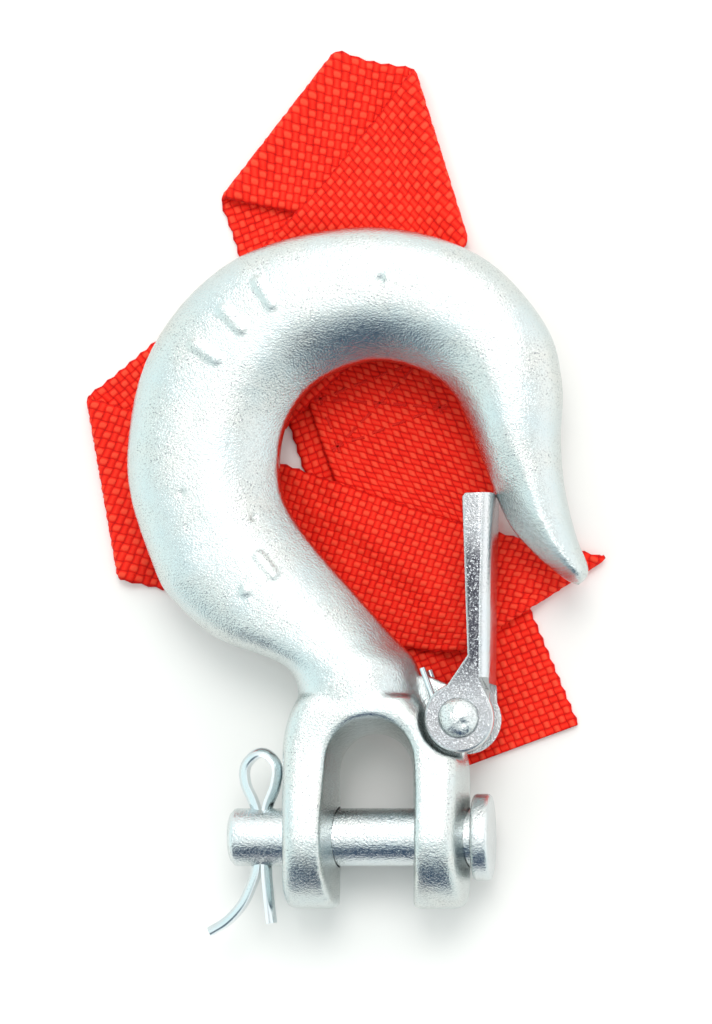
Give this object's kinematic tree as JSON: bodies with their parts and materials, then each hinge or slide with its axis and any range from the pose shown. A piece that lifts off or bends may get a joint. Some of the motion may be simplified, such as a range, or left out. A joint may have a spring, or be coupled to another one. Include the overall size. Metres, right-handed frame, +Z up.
{
  "type": "clevis slip hook with safety latch",
  "caption": "Forged clevis slip hook with a sprung safety latch, clevis pin and split pin, lying on a folded webbing pull strap.",
  "frame": {"origin": "centre of the box round the whole object, on the surface it lies on", "axes": "+Y from the clevis towards the hook's bowl, +X along the clevis pin towards its head, +Z up off the surface"},
  "size_m": [0.0902, 0.1502, 0.0239],
  "materials": {
    "zinc_forging": "bright zinc plated forging, fine pebbled skin",
    "zinc_sheet": "bright zinc plated pressed sheet",
    "zinc_pin": "bright zinc plated turned steel",
    "spring_wire": "drawn spring wire",
    "red_webbing": "woven nylon webbing",
    "red_thread": "bonded sewing thread"
  },
  "bodies": {
    "hook": {"hook_body": "zinc_forging", "latch_spring": "spring_wire"},
    "latch": {"latch": "zinc_sheet", "latch_rivet": "zinc_pin"},
    "clevis_pin": {"clevis_pin": "zinc_pin"},
    "split_pin": {"split_pin": "zinc_pin"},
    "strap": {"pull_strap": "red_webbing", "strap_stitching": "red_thread"}
  },
  "joints": [
    {"name": "latch_hinge", "type": "hinge", "parent": "hook", "child": "latch", "pos_m": [0.02183, -0.03949, 0.012], "axis": [0, 0, 1], "range_deg": [0, 40], "stiffness_Nm_per_rad": 0.08, "springref_deg": -28.65, "deforming": ["latch_spring"]},
    {"name": "pin_turn", "type": "hinge", "parent": "hook", "child": "clevis_pin", "pos_m": [0.00743, -0.05889, 0.012], "axis": [1, 0, 0], "continuous": true},
    {"name": "split_pin_turn", "type": "hinge", "parent": "clevis_pin", "child": "split_pin", "pos_m": [-0.01172, -0.05889, 0.012], "axis": [0, 1, 0], "range_deg": [-75, 75]},
    {"name": "strap_pull", "type": "slide", "parent": "hook", "child": "strap", "axis": [0, 1, 0], "range_m": [0, 0.12]}
  ]
}
